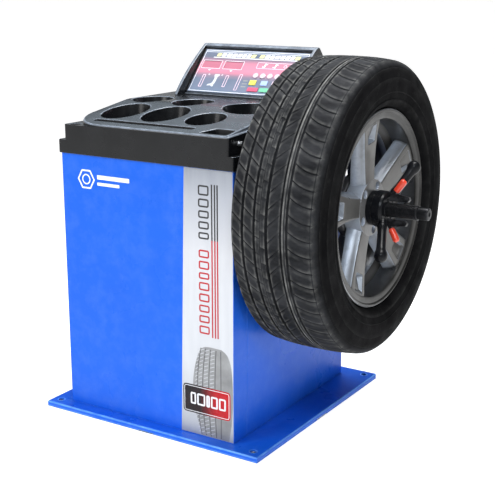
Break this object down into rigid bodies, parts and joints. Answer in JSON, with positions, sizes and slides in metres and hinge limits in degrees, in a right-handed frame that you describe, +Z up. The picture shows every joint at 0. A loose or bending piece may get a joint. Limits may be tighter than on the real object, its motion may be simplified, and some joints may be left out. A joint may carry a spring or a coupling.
{
  "type": "wheel balancer machine",
  "caption": "Floor-standing wheel balancer: sheet-metal cabinet, weight tray, tilted keypad display and a motor-driven spindle with a wheel clamped by a quick nut.",
  "frame": {"origin": "centre of the base plate's underside, on the floor", "axes": "+X along the spindle towards the wheel, +Y to the back of the machine, +Z up"},
  "size_m": [0.965, 0.738, 0.961],
  "materials": {
    "blue_paint": "glossy blue powder coat on sheet steel",
    "steel": "ground and zinc-plated steel",
    "black_plastic": "grained black moulded plastic",
    "switch_plastic": "smooth black rocker",
    "brass": "turned brass",
    "frame_paint": "dark grey chassis paint",
    "cast_grey": "machined grey casting",
    "rubber": "black moulded rubber of the belt and the valve stem",
    "board": "green circuit board",
    "overlay": "printed polyester overlay, grey-blue with a pink-red band",
    "window": "tinted display window, unlit",
    "black_steel": "blackened steel",
    "aluminium_pulley": "turned aluminium",
    "rim_alloy": "gunmetal painted cast alloy",
    "tyre": "dusty black tread rubber",
    "red_sleeve": "soft orange-red vinyl sleeve",
    "key_white": "white key",
    "key_yellow": "yellow key",
    "key_blue": "blue key",
    "key_red": "red key",
    "key_green": "green key"
  },
  "bodies": {
    "root": {"base_plate": "blue_paint", "front_panel": "blue_paint", "cabinet_body": "blue_paint", "rear_panel": "blue_paint", "panel_screw_1": "steel", "panel_screw_2": "steel", "panel_screw_3": "steel", "panel_screw_4": "steel", "weight_tray": "black_plastic", "caliper_peg": "steel", "gauge_sleeve": "brass", "machine_frame": "frame_paint", "spindle_housing": "cast_grey", "force_sensor_front": "steel", "force_sensor_rear": "steel", "bearing_front": "steel", "bearing_rear": "steel", "encoder_sensor": "black_plastic", "drive_motor": "cast_grey", "motor_bracket": "frame_paint", "drive_belt": "rubber", "control_board": "board", "transformer": "cast_grey", "power_inlet": "black_plastic", "switch_frame": "black_plastic", "display_housing": "black_plastic", "keypad_panel": "overlay", "display_left": "window", "display_right": "window", "display_board": "board"},
    "spindle": {"spindle_shaft": "black_steel", "spindle_pulley": "aluminium_pulley", "encoder_disc": "steel", "backing_flange": "cast_grey", "cone_spring": "steel"},
    "cone": {"centring_cone": "steel"},
    "wheel": {"tyre": "tyre", "wheel_rim": "rim_alloy", "valve_stem": "rubber"},
    "pressure_cup": {"nut_cup": "black_plastic"},
    "quick_nut": {"nut_body": "black_steel", "handle_a": "black_plastic", "handle_b": "black_plastic"},
    "lever_a": {"release_lever_a": "black_steel", "lever_sleeve_a": "red_sleeve"},
    "lever_b": {"release_lever_b": "black_steel", "lever_sleeve_b": "red_sleeve"},
    "motor": {"motor_rotor": "steel", "motor_pulley": "aluminium_pulley"},
    "gauge": {"gauge_rod": "steel"},
    "rocker": {"switch_rocker": "switch_plastic"},
    "key_round_1": {"key_round_1": "key_white"},
    "key_round_2": {"key_round_2": "key_white"},
    "key_round_3": {"key_round_3": "key_white"},
    "key_round_4": {"key_round_4": "key_white"},
    "key_yellow": {"key_yellow": "key_yellow"},
    "key_blue": {"key_blue": "key_blue"},
    "key_white": {"key_white": "key_white"},
    "key_stop": {"key_stop": "key_red"},
    "key_start": {"key_start": "key_green"}
  },
  "joints": [
    {"name": "spindle_spin", "type": "hinge", "parent": "root", "child": "spindle", "pos_m": [0, -0.009, 0.592], "axis": [1, 0, 0], "continuous": true},
    {"name": "motor_spin", "type": "hinge", "parent": "root", "child": "motor", "pos_m": [0, -0.009, 0.4], "axis": [1, 0, 0], "continuous": true},
    {"name": "cone_slide", "type": "slide", "parent": "spindle", "child": "cone", "axis": [-1, 0, 0], "range_m": [0, 0.008], "stiffness_N_per_m": 2500, "springref_m": -0.004, "deforming": ["cone_spring"]},
    {"name": "wheel_slide", "type": "slide", "parent": "spindle", "child": "wheel", "axis": [1, 0, 0], "range_m": [0, 0.2]},
    {"name": "nut_slide", "type": "slide", "parent": "wheel", "child": "pressure_cup", "axis": [1, 0, 0], "range_m": [0, 0.1]},
    {"name": "nut_spin", "type": "hinge", "parent": "pressure_cup", "child": "quick_nut", "pos_m": [0, -0.009, 0.592], "axis": [1, 0, 0], "continuous": true},
    {"name": "gauge_slide", "type": "slide", "parent": "root", "child": "gauge", "axis": [1, 0, 0], "range_m": [0, 0.11]},
    {"name": "power_switch", "type": "hinge", "parent": "root", "child": "rocker", "pos_m": [0.19, 0.277, 0.23], "axis": [1, 0, 0], "range_deg": [0, 16]},
    {"name": "lever_a_squeeze", "type": "hinge", "parent": "quick_nut", "child": "lever_a", "pos_m": [0.523, -0.00315, 0.61733], "axis": [0, -0.9744, 0.225], "range_deg": [0, 12], "stiffness_Nm_per_rad": 1.5, "springref_deg": -8.59},
    {"name": "lever_b_squeeze", "type": "hinge", "parent": "quick_nut", "child": "lever_b", "pos_m": [0.523, -0.01485, 0.56667], "axis": [0, 0.9744, -0.225], "range_deg": [0, 12], "stiffness_Nm_per_rad": 1.5, "springref_deg": -8.59},
    {"name": "key_round_1_press", "type": "slide", "parent": "root", "child": "key_round_1", "axis": [0, 0.7388, -0.674], "range_m": [0, 0.001], "stiffness_N_per_m": 900, "springref_m": -0.0006},
    {"name": "key_round_2_press", "type": "slide", "parent": "root", "child": "key_round_2", "axis": [0, 0.7388, -0.674], "range_m": [0, 0.001], "stiffness_N_per_m": 900, "springref_m": -0.0006},
    {"name": "key_round_3_press", "type": "slide", "parent": "root", "child": "key_round_3", "axis": [0, 0.7388, -0.674], "range_m": [0, 0.001], "stiffness_N_per_m": 900, "springref_m": -0.0006},
    {"name": "key_round_4_press", "type": "slide", "parent": "root", "child": "key_round_4", "axis": [0, 0.7388, -0.674], "range_m": [0, 0.001], "stiffness_N_per_m": 900, "springref_m": -0.0006},
    {"name": "key_yellow_press", "type": "slide", "parent": "root", "child": "key_yellow", "axis": [0, 0.7388, -0.674], "range_m": [0, 0.001], "stiffness_N_per_m": 900, "springref_m": -0.0006},
    {"name": "key_blue_press", "type": "slide", "parent": "root", "child": "key_blue", "axis": [0, 0.7388, -0.674], "range_m": [0, 0.001], "stiffness_N_per_m": 900, "springref_m": -0.0006},
    {"name": "key_white_press", "type": "slide", "parent": "root", "child": "key_white", "axis": [0, 0.7388, -0.674], "range_m": [0, 0.001], "stiffness_N_per_m": 900, "springref_m": -0.0006},
    {"name": "key_stop_press", "type": "slide", "parent": "root", "child": "key_stop", "axis": [0, 0.7388, -0.674], "range_m": [0, 0.001], "stiffness_N_per_m": 900, "springref_m": -0.0006},
    {"name": "key_start_press", "type": "slide", "parent": "root", "child": "key_start", "axis": [0, 0.7388, -0.674], "range_m": [0, 0.001], "stiffness_N_per_m": 900, "springref_m": -0.0006}
  ],
  "couplings": [
    {"joint": "motor_spin", "follows": "spindle_spin", "ratio": 2.6}
  ]
}
